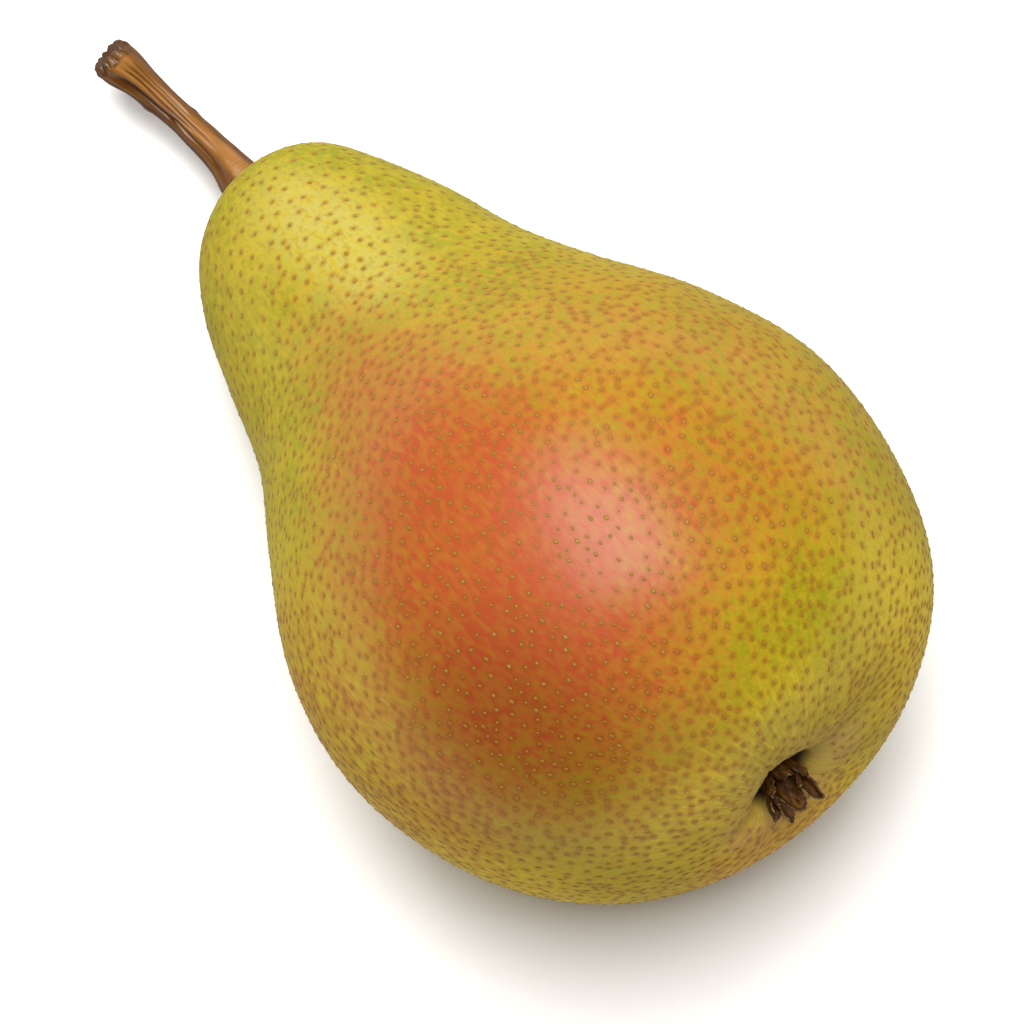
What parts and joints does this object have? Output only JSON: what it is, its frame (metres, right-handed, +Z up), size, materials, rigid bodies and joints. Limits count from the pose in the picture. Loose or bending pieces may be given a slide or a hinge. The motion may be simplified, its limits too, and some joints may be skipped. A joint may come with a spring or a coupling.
{
  "type": "pear",
  "caption": "Ripe pear lying on its side: pear-shaped fruit pressed flat where it rests, ridged woody stem, dried calyx in the basin.",
  "frame": {"origin": "the middle of the pear's bounding box, on the surface it lies on", "axes": "+X towards the blossom end and +Z up; the pear lies on its belly with its core 21.5 degrees off level, the stem end low towards -X"},
  "size_m": [0.1306, 0.074, 0.074],
  "materials": {
    "skin": "smooth waxy fruit skin, yellow-green with an orange-red blush and brown pores",
    "wood": "smooth woody stem with lengthwise ridges, satin",
    "husk": "dry leathery brown sepals, dull"
  },
  "bodies": {
    "root": {"fruit": "skin", "stem": "wood", "calyx": "husk"}
  },
  "joints": []
}
